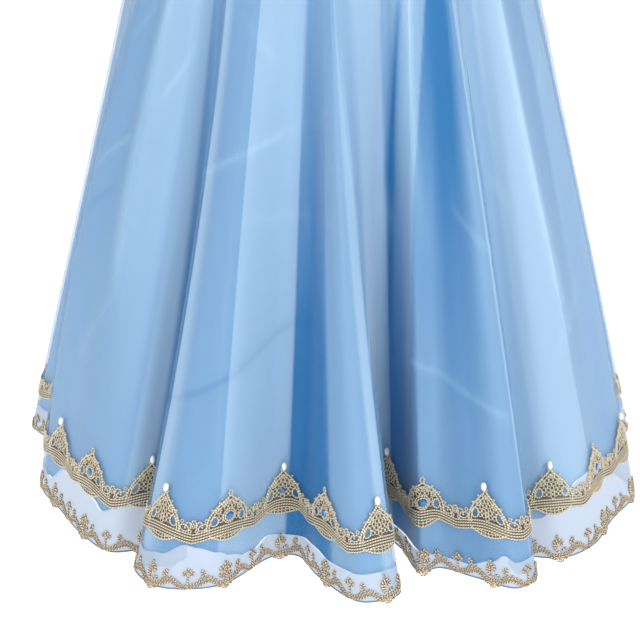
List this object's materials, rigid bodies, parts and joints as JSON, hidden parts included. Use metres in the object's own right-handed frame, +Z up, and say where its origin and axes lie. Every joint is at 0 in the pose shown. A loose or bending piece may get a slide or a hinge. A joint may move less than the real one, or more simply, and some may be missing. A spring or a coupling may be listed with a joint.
{
  "type": "ballet dress",
  "caption": "Full-length sleeveless ballet dress, filled out: close bodice on narrow straps, sheer fluted skirt over an opaque under-skirt, beaded gold lace band above a lace-edged hem.",
  "frame": {"origin": "middle of the waist seam, where the wearer's waist holds the dress", "axes": "+Z up, -Y towards the front, +X towards the viewer's right as seen from the front"},
  "size_m": [0.7939, 0.7355, 1.35],
  "materials": {
    "organza": "sheer, soft sheen",
    "lining_satin": "opaque, soft satin sheen",
    "gold_lace": "corded, satin gold thread",
    "bodice_satin": "satin",
    "pearl": "pearl lustre",
    "blue_stone": "faceted, polished"
  },
  "bodies": {
    "root": {"skirt_front": "organza", "skirt_back_right": "organza", "skirt_back_left": "organza", "lining_front_left": "lining_satin", "lining_front_right": "lining_satin", "lining_back_right": "lining_satin", "lining_back_left": "lining_satin", "band_front": "gold_lace", "band_back": "gold_lace", "edging_front": "gold_lace", "edging_back": "gold_lace", "bodice_front": "bodice_satin", "bodice_back": "bodice_satin", "strap_left": "bodice_satin", "strap_right": "bodice_satin"}
  },
  "joints": []
}
